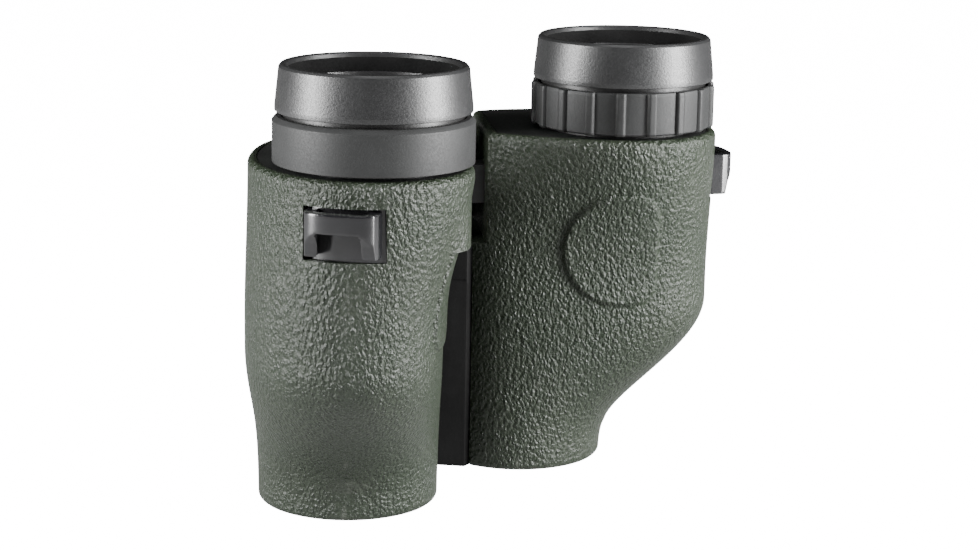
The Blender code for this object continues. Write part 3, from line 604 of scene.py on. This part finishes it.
def stack(rings, closed_loop):
    """Loft through rings of (z, points)."""
    count = len(rings[0][1])
    coords = np.vstack([np.column_stack([p, np.full(count, z)]) for z, p in rings]) * MM
    faces = []
    pairs = [(k, k + 1) for k in range(len(rings) - 1)]
    if closed_loop:
        pairs.append((len(rings) - 1, 0))
    for upper, lower in pairs:
        for i in range(count):
            j = (i + 1) % count
            faces.append((upper * count + i, lower * count + i, lower * count + j, upper * count + j))
    if not closed_loop:
        faces.append(tuple(range(count)))
        faces.append(tuple(reversed(range((len(rings) - 1) * count, len(rings) * count))))
    mesh = bpy.data.meshes.new("loft")
    mesh.from_pydata(coords.tolist(), [], faces)
    return mesh


# ---------------------------------------------------------------- armour and covers

def armour_rings(pad):
    """Rings round the lip and down the outside, round the rim, then up the inside."""
    levels = list(np.linspace(SHOULDER_Z, 64.0, 10)) + list(np.arange(63.4, 36.0, -0.38))
    levels += list(np.arange(35.6, RIM_ROUND + 0.5, -0.85))
    levels += [LEDGE_Z + 0.12, LEDGE_Z - 0.12]
    if pad:
        levels += [SHOULDER_PAD_Z + 0.05, SHOULDER_PAD_Z - 0.25]
    rings = []
    for i in range(1, 9):
        turn = pi / 2 * i / 8
        z = ARMOUR_TOP_Z - LIP_ROUND * (1 - cos(turn))
        rings.append((z, outline(SHOULDER_Z, LIP_ROUND * (1 - sin(turn)), flat=True, pad=pad)))
    for z in sorted(levels, reverse=True):
        shape_z = LEDGE_Z if abs(z - LEDGE_Z) < 0.2 else z
        points, normals = even_outline(shape_z)
        points = points + normals * thumb_pad(points, normals, z)[:, None]
        if z > LEDGE_Z:
            points = trimmed(points, 0.0)
        if pad and z >= SHOULDER_PAD_Z:
            points = shouldered(points)
        rings.append((z, points))
    for i in range(7):
        turn = pi / 2 * i / 6
        z = RIM_ROUND * (1 - sin(turn))
        rings.append((z, outline(z, RIM_ROUND * (1 - cos(turn)))))
    rings.append((0.12, outline(0.0, ARMOUR_INSET)))
    for z in (14.0, 28.0, 40.0, LEDGE_Z - ARMOUR_INSET - 0.5):
        rings.append((z, outline(z, ARMOUR_INSET)))
    for z in (LEDGE_Z - ARMOUR_INSET + 0.5, 60.0, SHOULDER_Z, ARMOUR_TOP_Z - 0.15):
        rings.append((z, outline(min(z, SHOULDER_Z), ARMOUR_INSET, flat=True)))
    return rings


def opening_cutters():
    """Solids that open the armour beside the bridge: the objective tube's side, then above."""
    front = [(-10.0, 0.5), (7.2, 4.2), (12.0, 5.0), (19.0, 19.4), (16.7, 24.4)]
    front += [(6.0, 48.0), (-10.0, 48.0)]
    near = RECESS_EDGE + RECESS_ALONG * 1.2
    far = RECESS_EDGE + RECESS_ALONG * RECESS_WALL_LENGTH
    depth = RECESS_NORMAL * (ARMOUR_INSET + 0.8)
    rear = [tuple(near), tuple(near + depth), tuple(far + depth), tuple(far)]
    rear += [(6.0, 44.0), (-12.0, 44.0), (-12.0, -1.6)]
    return [prism(front, -1.0, LEDGE_Z - 1.0), prism(rear, LEDGE_Z - 2.0, ARMOUR_TOP_Z + 1.0)]


def lug_reach():
    """Distance from the eyepiece axis to the outer shape behind the strap lug."""
    normal = np.array([[cos(LUG_ANGLE), sin(LUG_ANGLE)]])
    point = dense_outline(sum(LUG_Z) / 2, normal)[0]
    return float((point - np.array(EYE)) @ normal[0])


def make_armour(prefix, side):
    reach = lug_reach()
    half = POCKET_WIDTH / 2
    hole = fillet([(reach - 6, -half), (reach + 5, -half), (reach + 5, half), (reach - 6, half)], 0.3)
    pocket = turned(prism(hole, *POCKET_Z), LUG_ANGLE, EYE)
    mesh = faced_outward(stack(armour_rings(pad=side < 0), closed_loop=True))
    mesh = shaped(mesh, cuts=opening_cutters() + [pocket])
    piece(prefix + "_armour_skin", sided(mesh, side), ARMOUR, prefix + "_half", [prefix + "_armour"])


def make_rear_cover(prefix, side):
    """Smooth plate inside the armour's lip, and the neck that guides the eyepiece."""
    rings = []
    for i in range(5):
        turn = pi / 2 * i / 4
        z = COVER_TOP_Z - COVER_ROUND * (1 - cos(turn))
        inset = COVER_SEAT + COVER_ROUND * (1 - sin(turn))
        rings.append((z, outline(SHOULDER_Z, inset, flat=True, count=COVER_COLUMNS)))
    rings.append((COVER_LOW_Z, outline(SHOULDER_Z, COVER_SEAT, flat=True, count=COVER_COLUMNS)))
    mesh = faced_outward(stack(rings, closed_loop=False))
    neck_top = high(prefix + "_rear_cover").z
    neck = moved(rod(NECK_R, COVER_LOW_Z + 0.5, neck_top), *EYE)
    bore = moved(rod(NECK_BORE_R, 70.0, 90.0), *EYE)
    mesh = shaped(mesh, cuts=[bore], joins=[neck])
    node = prefix + "_rear_cover"
    piece(node + "_shell", sided(mesh, side), COVER, prefix + "_half", [node])


def melted(mesh, size, rounds):
    """Remesh evenly and smooth, so that every edge flows like a moulded one."""
    made = bpy.data.objects.new("melting", mesh)
    bpy.context.scene.collection.objects.link(made)
    even = made.modifiers.new("even", "REMESH")
    even.mode = "VOXEL"
    even.voxel_size = size * MM
    soft = made.modifiers.new("soft", "SMOOTH")
    soft.factor = 0.5
    soft.iterations = rounds
    result = applied(made)
    bpy.data.objects.remove(made)
    return result


def make_lug(prefix, side):
    """Staple with a thick top bar and posts that slope back below it, and its pocket's floor."""
    reach = lug_reach()
    half = LUG_HALF_WIDTH
    near, far = LUG_DEPTH
    steps = [half * (i / 16) for i in range(-16, 17)]
    crown = [(near + (far - near) * (1 - abs(t / half) ** 2.8) ** 0.5, t) for t in steps]
    outer = [(-2.3, -half)] + crown + [(-2.3, half)]
    inner = fillet([(-2.3, 5.0), (1.5, 5.0), (1.5, -5.0), (-2.3, -5.0)], [0, 0.9, 0.9, 0], 5)
    shape = [(reach + d, t) for d, t in outer + inner]
    bottom, top = LUG_Z
    bar_low = top - LUG_BAR_HEIGHT
    gap = LUG_WINDOW_HALF_WIDTH
    window = [(reach - 3, -gap), (reach + 9, -gap), (reach + 9, gap), (reach - 3, gap)]
    window = prism(window, bottom + 0.7, bar_low)
    slope = [(4.6, bar_low + 0.4), (3.0, bar_low - 0.6), (2.0, bar_low - 2.2), (1.3, bottom - 0.6)]
    slope += [(9.0, bottom - 0.6), (9.0, bar_low + 0.4)]
    wedge = prism([(reach + d, z) for d, z in slope], -12.0, 12.0)
    wedge.transform(Matrix.Rotation(radians(90), 4, "X"))
    mesh = melted(shaped(prism(shape, bottom, top), cuts=[window, wedge]), LUG_VOXEL, 14)
    name = prefix + "_strap_lug"
    piece(name + "_bar", sided(turned(mesh, LUG_ANGLE, EYE), side), GLOSS, prefix + "_half", [name])
    half = POCKET_WIDTH / 2 - 0.12
    across = [half * (i / 12) for i in range(-12, 13)]
    curve = [(reach - 1.1 - t * t / 34, t) for t in across]
    floor = [(reach - 3.2, -half)] + curve + [(reach - 3.2, half)]
    floor = prism(floor, POCKET_Z[0] + 0.12, POCKET_Z[1] - 0.12)
    piece(prefix + "_lug_floor", sided(turned(floor, LUG_ANGLE, EYE), side), GLOSS, prefix + "_half")


# ---------------------------------------------------------------- eyepieces and objectives

def at_eye(mesh, side):
    return moved(mesh, side * EYE.x, EYE.y)


def make_eyecup(prefix, side):
    bottom, top = low(prefix + "_eyecup").z, high(prefix + "_eyecup").z
    body = prefix + "_eyecup"
    outside = [
        (17.15, top - 0.25), (17.55, top), (18.15, top - 0.05), (18.6, top - 0.6), (19.4, bottom + 0.95),
        (19.4, bottom), (18.1, bottom), (18.1, bottom + 1.5), (13.7, bottom + 1.5), (13.7, bottom + 2.4),
    ]
    radii = [0.2, 0.3, 0.3, 0.4, 0.5, 0.15, 0, 0, 0, 0.3]
    profile = fillet(outside, radii, 4) + [(16.75, top - 1.2)]
    piece(body + "_shell", at_eye(lathe(profile, 128), side), CUP, body, [body])
    # dark sheet laid over the cup's inner face: painted shade
    shade_lining = [(16.78, top - 1.0), (14.05, bottom + 2.9), (12.6, bottom + 2.75), (12.6, bottom + 2.55)]
    shade_lining += [(14.0, bottom + 2.62), (16.95, top - 1.0)]
    piece(body + "_lining", at_eye(lathe(shade_lining, 128), side), CUP_INSIDE_SHADE, body)
    sleeve = prefix + "_eyecup_sleeve"
    z0, z1 = low(sleeve).z, high(sleeve).z
    profile = fillet([(17.8, z1), (17.8, z0), (15.7, z0), (15.7, z1)], 0.25)
    piece(sleeve + "_tube", at_eye(lathe(profile), side), BLACK, prefix + "_sleeve", [sleeve])


def make_eyepiece(prefix, side):
    body = "right_eyepiece" if side > 0 else "left_half"
    barrel = prefix + "_eyepiece_barrel"
    z0, z1 = low(barrel).z, high(barrel).z
    profile = fillet([(13.2, z1), (13.2, z0), (12.0, z0), (12.0, z1 - 0.9), (12.4, z1)], 0.2)
    piece(barrel + "_tube", at_eye(lathe(profile), side), BLIND, body, [barrel])
    for kind, edge in (("_field_lens", 1.6), ("_eye_lens", 2.2)):
        node = prefix + kind
        mesh = lens_mesh(11.6, low(node).z, high(node).z, edge)
        piece(node + "_glass", at_eye(mesh, side), EYE_GLASS, body, [node])


def lens_mesh(radius, bottom, top, edge):
    """Lens with two domed faces and a ground rim."""
    middle = (bottom + top) / 2
    bulge = (top - bottom - edge) / 2
    parts = [i / 8 for i in range(9)]
    upper = [(radius * t, middle + edge / 2 + bulge * (1 - t * t)) for t in parts]
    lower = [(radius * t, middle - edge / 2 - bulge * (1 - t * t)) for t in reversed(parts)]
    return lathe(upper + lower)


def make_objective(prefix, side):
    body = prefix + "_half"

    def place(mesh):
        return moved(mesh, side * OBJECTIVE.x, OBJECTIVE.y)

    node = prefix + "_objective_lens"
    glass = lens_mesh(13.8, low(node).z, high(node).z, 2.8)
    piece(node + "_glass", place(glass), OBJECTIVE_GLASS, body, [node])
    node = prefix + "_objective_retainer"
    z0, z1 = low(node).z, high(node).z
    steps = 5
    teeth = []
    for i in range(steps):
        z = mix(z0 + 0.1, z1 - 0.1, i / steps)
        teeth += [(12.8 + 0.22 * (i % 2), z), (12.8 + 0.22 * ((i + 1) % 2), z + 0.12)]
    ring = [(14.8, z1), (14.8, z0 + 0.2), (14.5, z0), (13.2, z0)] + teeth + [(12.9, z1)]
    piece(node + "_ring", place(lathe(ring)), BLIND, body, [node])
    node = prefix + "_objective_cell"
    z0, z1 = low(node).z, high(node).z
    cell = [(14.8, z1), (14.8, z0), (14.2, z0), (14.2, z0 + 6.4), (12.6, z0 + 6.4), (12.6, z1)]
    piece(node + "_turned", place(lathe(cell)), BLIND, body, [node])


def make_rings():
    """Ribbed dioptre ring on the right and plain collar on the left."""
    z0, z1 = low("diopter_ring").z, high("diopter_ring").z
    outer_r = (high("diopter_ring").x - low("diopter_ring").x) / 2
    ribs = 18
    flat_r = outer_r - 0.75

    def ribbed(radius, height, angle):
        if radius < 18.6:
            return radius
        phase = (angle * ribs / (2 * pi) + 0.5) % 1.0 - 0.5
        off = abs(phase) * 2 * pi * outer_r / ribs
        rise = float(smooth((0.95 - off) / 0.35 + 0.5))
        return radius - 0.75 + 0.75 * rise

    profile = fillet(
        [(18.4, z1), (outer_r - 0.1, z1), (outer_r, z1 - 0.8), (outer_r, z0 + 0.5), (outer_r - 0.4, z0),
         (15.7, z0), (15.7, z0 + 1.8), (18.3, z0 + 1.8)],
        [0.1, 0.3, 0.4, 0.3, 0.2, 0, 0, 0], 3,
    )
    mesh = lathe(profile, 18 * 24, ribbed)
    piece("diopter_ring_ribbed", at_eye(mesh, 1), RING, "diopter_ring", ["diopter_ring"], sharp=50.0)
    outside, inside = flat_r - 0.02, flat_r - 0.4
    band = [(outside, z1 - 1.2), (outside, z0 + 0.4), (inside, z0 + 0.4), (inside, z1 - 1.2)]
    piece("diopter_ring_band", at_eye(lathe(band), 1), GRIP, "diopter_ring")
    node = "left_eyepiece_collar"
    profile = fillet(
        [(18.2, z1), (outer_r - 0.8, z1), (outer_r, z1 - 0.9), (outer_r, z0 + 0.1), (outer_r - 0.2, z0),
         (15.7, z0), (15.7, z0 + 1.8), (18.2, z0 + 1.8)],
        [0, 0.15, 0.25, 0.05, 0.05, 0, 0, 0], 3,
    )
    piece(node + "_turned", at_eye(lathe(profile, 128), -1), RING, "left_half", [node])


# ---------------------------------------------------------------- bridge

def make_housing():
    """Battery barrel with a fairing to the right tube and the panel between the halves."""
    node = "bridge_housing"
    z0 = low(node).z
    barrel_top = 42.3
    barrel_r = 10.2
    around = arc(HINGE, barrel_r, 84.0, 280.0, 44)
    shape = around + [(5.6, 4.1), (6.85, 4.37), (11.6, 5.2), (18.6, 19.4), (16.3, 24.2)]
    panel = [(1.6, 9.7), (5.6, 4.1), (6.85, 4.37), (11.0, 5.15), (11.5, 10.9), (2.4, 10.9)]
    panel = prism(panel, barrel_top - 1.0, high(node).z)
    tube_r = OBJECTIVE_LOBE_R - ARMOUR_INSET - 0.3 + 0.75
    tube = moved(rod(tube_r, -4.0, 60.0, 160), *OBJECTIVE)
    bore = moved(rod(8.4, -4.0, 40.4), *HINGE)
    mesh = shaped(prism(shape, z0, barrel_top), cuts=[tube, bore], joins=[panel], bevel=0.35)
    piece("bridge_housing_shell", mesh, HOUSING, "right_half", [node])


def make_battery_cap():
    """Screw-in cap with a coin slot, a raised lip and finger notches."""
    node = "battery_cap"
    z0, z1 = low(node).z, high(node).z

    def notched(radius, height, angle):
        if radius < 7.6:
            return radius
        phase = (angle * 12 / (2 * pi)) % 1.0 - 0.5
        return radius - 0.45 * float(smooth(1.0 - abs(phase) * 6.0))

    profile = [(0, z1), (6.7, z1), (6.7, 2.2), (8.0, 2.2), (8.0, z0 + 0.35), (7.7, z0)]
    profile += [(7.0, z0), (6.8, z0 + 0.35), (0, z0 + 0.35)]
    mesh = lathe(profile, 144, notched)
    slot = fillet([(-5.6, -0.8), (5.6, -0.8), (5.6, 0.8), (-5.6, 0.8)], 0.75, 5)
    mesh = shaped(mesh, cuts=[prism(slot, -1.0, z0 + 1.3)])
    piece("battery_cap_turned", moved(mesh, *HINGE), BLACK, node, [node])


def stadium(half_width, half_length, count=14):
    """Outline with round ends, long side along its second coordinate."""
    reach = half_length - half_width
    upper = arc((0.0, reach), half_width, 0.0, 180.0, count)
    return upper + arc((0.0, -reach), half_width, 180.0, 360.0, count)


def make_bridge_cover():
    """Hood over the hinge with a wing that closes the recess, and pockets for the buttons."""
    node = "bridge_cover"
    z0, z1 = low(node).z, high(node).z
    top = 30.6
    hollow = arc(HINGE, 7.4, 30.0, 180.0, 24)
    outer = [(-7.4, 20.6), (-9.5, 20.6), (-9.5, 26.6), (-8.3, 29.3), (-5.6, top)]
    outer += [(9.0, top), (13.0, 29.3), (16.2, 25.6), (16.2, 23.0)]
    outer = fillet(outer, [0, 0.6, 3.0, 2.0, 2.5, 4.0, 3.0, 0.8, 0], 5)
    end = RECESS_EDGE + RECESS_ALONG * (RECESS_WALL_LENGTH - 0.4)
    lip = end + RECESS_NORMAL * 1.5
    wing = [(10.0, 26.6), (10.0, 30.0), (14.0, 29.7), (21.0, 27.9), tuple(end + Vector((-0.4, 0.5)))]
    wing += [tuple(lip), tuple(lip - RECESS_ALONG * 2.2), (22.0, 24.6)]
    wing = prism(fillet(wing, [0, 0, 2.0, 3.0, 0.4, 0.2, 0, 0], 4), LEDGE_Z + 0.5, z1 - 0.2)
    pockets = []
    for name, half_width, half_length in (("range", 3.6, 5.8), ("mode", 2.6, 2.61)):
        middle = (low(name + "_button").z + high(name + "_button").z) / 2
        hole = prism(stadium(half_width + 0.3, half_length + 0.3), top - 2.7, top + 3.0)
        pockets.append(standing(hole, 0.0, middle))
        key = name + "_button"
        rise = high(key).y
        cap = shaped(prism(stadium(half_width, half_length), low(key).y, rise), bevel=0.7, segments=4)
        piece(key + "_cap", standing(cap, 0.0, middle), GRIP, key, [key])
    mesh = shaped(prism(outer + hollow, z0, z1), joins=[wing], cuts=pockets, bevel=0.3, segments=3)
    piece("bridge_cover_hood", mesh, COVER, "right_half", [node])


def make_focus_wheel():
    """Wheel with a dished cap and a rubber grip of fine ribs."""
    z0, z1 = low("focus_wheel").z, high("focus_wheel").z
    wheel = [
        (0, z1 - 0.7), (7.6, z1 - 0.7), (8.4, z1 - 0.1), (9.0, z1), (10.3, z1), (11.0, z1 - 0.8),
        (11.0, z0 + 0.3), (10.7, z0), (2.1, z0), (2.1, 84.3), (0, 84.3),
    ]
    piece("focus_wheel_turned", moved(lathe(wheel), *HINGE), BLACK, "focus_drive", ["focus_wheel"])
    ribs = 36

    def ribbed(radius, height, angle):
        if radius < 11.6:
            return radius
        phase = (angle * ribs / (2 * pi)) % 1.0 - 0.5
        return radius - 0.55 * float(smooth(1.15 - abs(phase) * 4.2))

    bottom, top = low("focus_wheel_grip").z, high("focus_wheel_grip").z
    profile = [(11.2, top), (12.0, top), (12.5, top - 0.5)]
    profile += [(12.5, bottom + 0.5), (12.0, bottom), (11.2, bottom)]
    profile = fillet(profile, [0, 0.2, 0.3, 0.3, 0.2, 0], 3)
    mesh = moved(lathe(profile, ribs * 12, ribbed), *HINGE)
    piece("focus_wheel_grip_ribbed", mesh, GRIP, "focus_drive", ["focus_wheel_grip"], sharp=50.0)


# ---------------------------------------------------------------- carried-over CAD nodes

CARRIED = {
    "right_chassis": BLACK, "left_chassis": BLACK, "hinge_shaft": STEEL, "hinge_bush": BRASS,
    "hinge_nut": STEEL, "focus_screw": BRASS, "focus_spool": BRASS, "battery": BRASS,
    "battery_contact": STEEL, "main_circuit_board": BOARD, "battery_cap_seal": GRIP,
    "range_switch": STEEL, "mode_switch": STEEL, "laser_diode_module": STEEL,
    "laser_receiver_module": STEEL, "display_glass": EYE_GLASS,
}
for half_name in ("right", "left"):
    CARRIED[half_name + "_focus_cell"] = ALUMINIUM
    CARRIED[half_name + "_focus_lens"] = OBJECTIVE_GLASS
    CARRIED[half_name + "_prism_upper"] = PRISM_GLASS
    CARRIED[half_name + "_prism_lower"] = PRISM_GLASS
    CARRIED[half_name + "_prism_plate"] = BLIND


def dress_carried_nodes():
    for name, finish in CARRIED.items():
        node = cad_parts[name]
        for index in range(len(node.material_slots)):
            node.material_slots[index].material = finish


for half_name, half_side in (("right", 1), ("left", -1)):
    make_armour(half_name, half_side)
    make_rear_cover(half_name, half_side)
    make_lug(half_name, half_side)
    make_eyecup(half_name, half_side)
    make_eyepiece(half_name, half_side)
    make_objective(half_name, half_side)
make_rings()
make_housing()
make_battery_cap()
make_bridge_cover()
make_focus_wheel()
dress_carried_nodes()


# ---------------------------------------------------------------- stage

def seen_strength(tree, as_light, as_seen):
    """A strength that differs between the backdrop as seen and the light that it gives."""
    path = tree.nodes.new("ShaderNodeLightPath")
    chosen = tree.nodes.new("ShaderNodeMapRange")
    chosen.inputs["To Min"].default_value = as_light
    chosen.inputs["To Max"].default_value = as_seen
    tree.links.new(path.outputs["Is Camera Ray"], chosen.inputs["Value"])
    return chosen.outputs["Result"]


def make_stage():
    form = bmesh.new()
    bmesh.ops.create_grid(form, x_segments=1, y_segments=1, size=4.0)
    floor = bpy.data.objects.new("floor", from_form(form, "floor"))
    bpy.context.scene.collection.objects.link(floor)
    pale = bpy.data.materials.new("pale_floor")
    pale.use_nodes = True
    shader = pale.node_tree.nodes["Principled BSDF"]
    shader.inputs["Base Color"].default_value = FLOOR_GREY
    shader.inputs["Roughness"].default_value = 0.9
    shader.inputs["Emission Color"].default_value = rgba(1.0, 1.0, 1.0)
    glow = seen_strength(pale.node_tree, FLOOR_LIGHT, BACKDROP_GLOW)
    pale.node_tree.links.new(glow, shader.inputs["Emission Strength"])
    floor.data.materials.append(pale)
    floor.location.z = -0.0002


CAMERA_TARGET = Vector((-18.8, -26.0, 52.0))
CAMERA_DISTANCE = 477.1
CAMERA_AZIMUTH = radians(-46.1)
CAMERA_PITCH = radians(12.6)
CAMERA_ROLL = radians(1.0)
CAMERA_LENS = 88.3
FLOOR_GREY = rgba(0.30, 0.30, 0.30)
SKY_LIGHT = 0.01
FLOOR_LIGHT = 0.35
BACKDROP_GLOW = 16.0            # how bright the floor and backdrop themselves look


def direction(azimuth, pitch):
    """Unit vector towards a place at an azimuth about Z, 0 being the underside, and a pitch."""
    return Vector((sin(azimuth) * cos(pitch), -cos(azimuth) * cos(pitch), sin(pitch)))


def aim(thing, place, target, roll=0.0):
    back = (place - target).normalized()
    right = Vector((0, 0, 1)).cross(back).normalized()
    up = back.cross(right)
    across = right * cos(roll) + up * sin(roll)
    rise = up * cos(roll) - right * sin(roll)
    rotation = Matrix((across, rise, back)).transposed().to_4x4()
    thing.matrix_world = Matrix.Translation(place * MM) @ rotation


def make_camera():
    lens = bpy.data.cameras.new("camera")
    lens.lens = CAMERA_LENS
    lens.sensor_width = 36.0
    lens.clip_start = 0.01
    camera = bpy.data.objects.new("camera", lens)
    bpy.context.scene.collection.objects.link(camera)
    place = CAMERA_TARGET + direction(CAMERA_AZIMUTH, CAMERA_PITCH) * CAMERA_DISTANCE
    aim(camera, place, CAMERA_TARGET, CAMERA_ROLL)
    bpy.context.scene.camera = camera


# azimuth from the camera's, pitch, distance, width, height, watts
LAMPS = (
    ("left_softbox", -70.0, 12.0, 520.0, 170.0, 400.0, 8.6),
    ("right_softbox", 72.0, 14.0, 400.0, 130.0, 340.0, 7.4),
    ("top_softbox", 0.0, 80.0, 700.0, 300.0, 300.0, 1.0),
)


def make_lamps():
    for name, turn, pitch, distance, width, height, watts in LAMPS:
        light = bpy.data.lights.new(name, "AREA")
        light.shape = "RECTANGLE"
        light.size = width * MM
        light.size_y = height * MM
        light.energy = watts
        lamp = bpy.data.objects.new(name, light)
        bpy.context.scene.collection.objects.link(lamp)
        middle = Vector((0.0, 0.0, 48.0))
        place = middle + direction(CAMERA_AZIMUTH + radians(turn), radians(pitch)) * distance
        aim(lamp, place, middle)
    world = bpy.data.worlds.new("studio")
    bpy.context.scene.world = world
    world.use_nodes = True
    nodes, links = world.node_tree.nodes, world.node_tree.links
    sky = nodes["Background"]
    sky.inputs["Color"].default_value = rgba(1.0, 1.0, 1.0)
    links.new(seen_strength(world.node_tree, SKY_LIGHT, BACKDROP_GLOW), sky.inputs["Strength"])


make_stage()
make_camera()
make_lamps()
